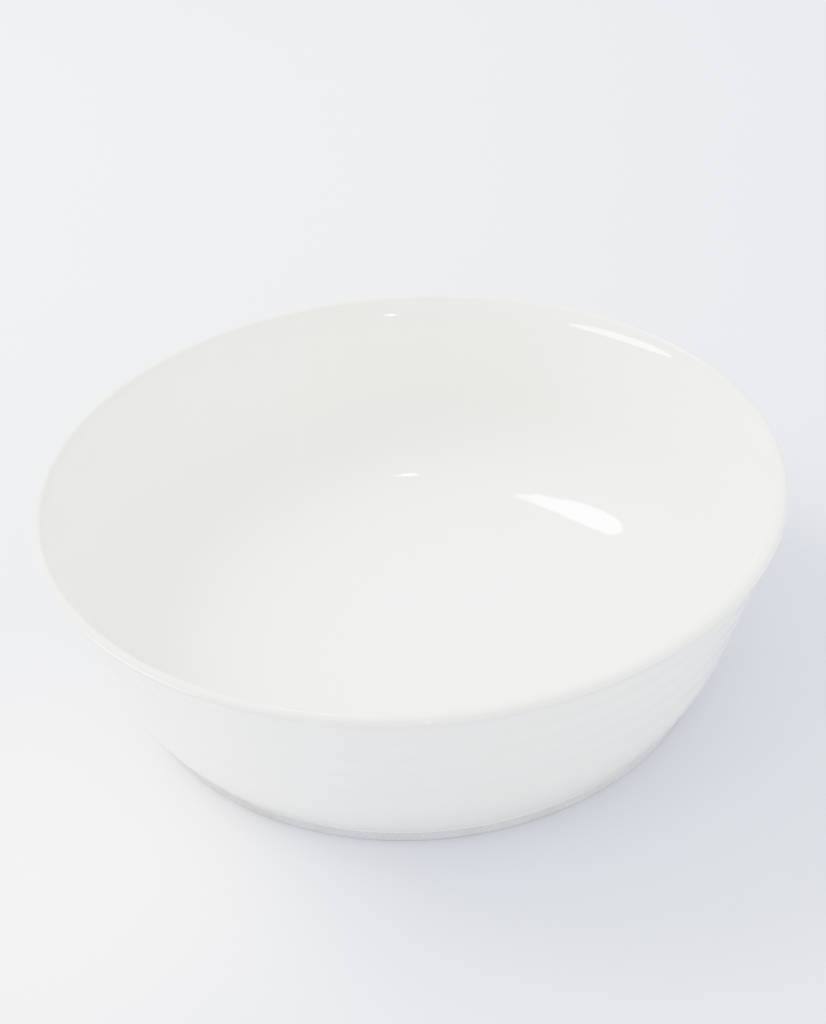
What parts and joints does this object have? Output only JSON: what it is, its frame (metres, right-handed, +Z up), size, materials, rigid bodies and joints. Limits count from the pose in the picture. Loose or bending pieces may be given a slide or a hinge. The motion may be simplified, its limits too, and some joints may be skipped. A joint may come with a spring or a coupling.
{
  "type": "serving bowl",
  "caption": "Round white glazed porcelain serving bowl: rolled lip, softly banded leaning wall, wide flat floor and a low bare foot ring to stand on.",
  "frame": {"origin": "centre of the foot ring's resting plane, on the bowl's axis", "axes": "+Z up along the bowl's axis, from the foot ring to the lip"},
  "size_m": [0.254, 0.254, 0.074],
  "materials": {
    "bisque": "matte",
    "glaze": "gloss"
  },
  "bodies": {
    "root": {"porcelain_body": "bisque", "main_glaze": "glaze", "foot_well_glaze": "glaze"}
  },
  "joints": []
}
